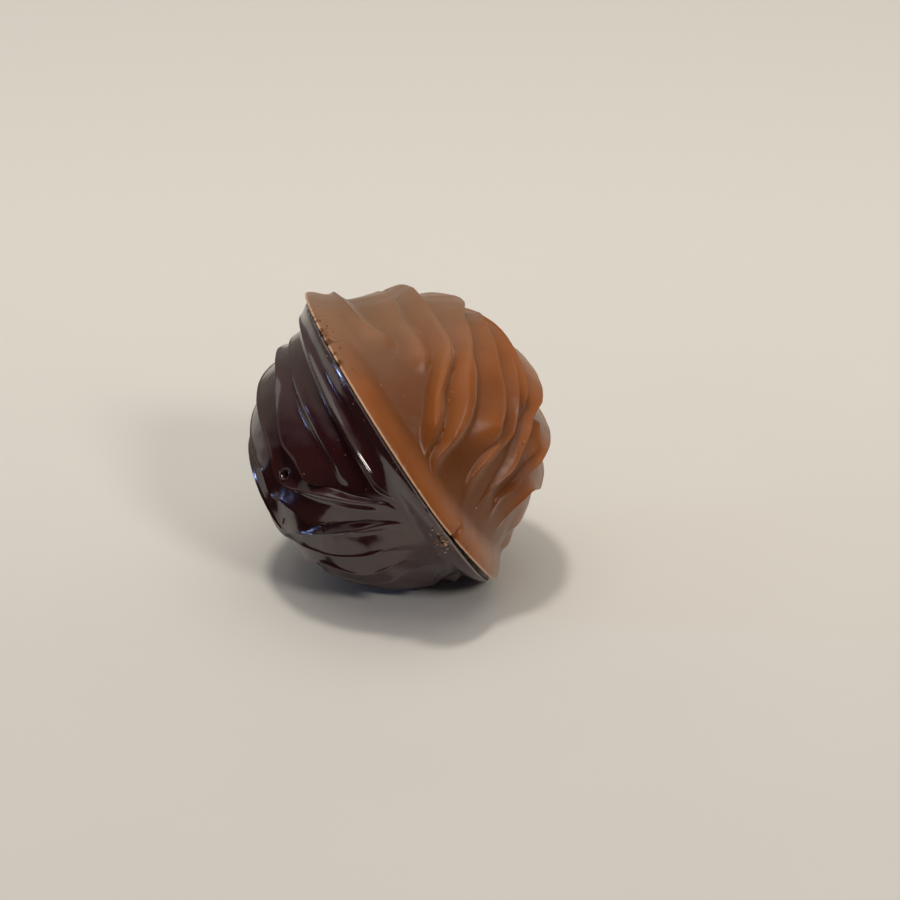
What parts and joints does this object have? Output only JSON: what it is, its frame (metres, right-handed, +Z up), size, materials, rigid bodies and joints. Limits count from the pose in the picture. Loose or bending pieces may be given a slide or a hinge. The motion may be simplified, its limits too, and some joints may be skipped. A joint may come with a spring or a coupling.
{
  "type": "moulded chocolate praline",
  "caption": "ball-shaped moulded praline of a dark and a milk chocolate half dome with wavy folds, joined at a rimmed seam",
  "frame": {"origin": "middle of the underside of the bounding box, on the surface the praline lies on", "axes": "+Z up; +Y runs away from the shown side, along the longest extent across the rimmed seam; +X to the milk half's side"},
  "size_m": [0.0334, 0.0372, 0.033],
  "materials": {
    "dark_chocolate": "glossy tempered dark chocolate",
    "milk_chocolate": "satin tempered milk chocolate"
  },
  "bodies": {
    "root": {"dark_half": "dark_chocolate", "milk_half": "milk_chocolate"}
  },
  "joints": []
}
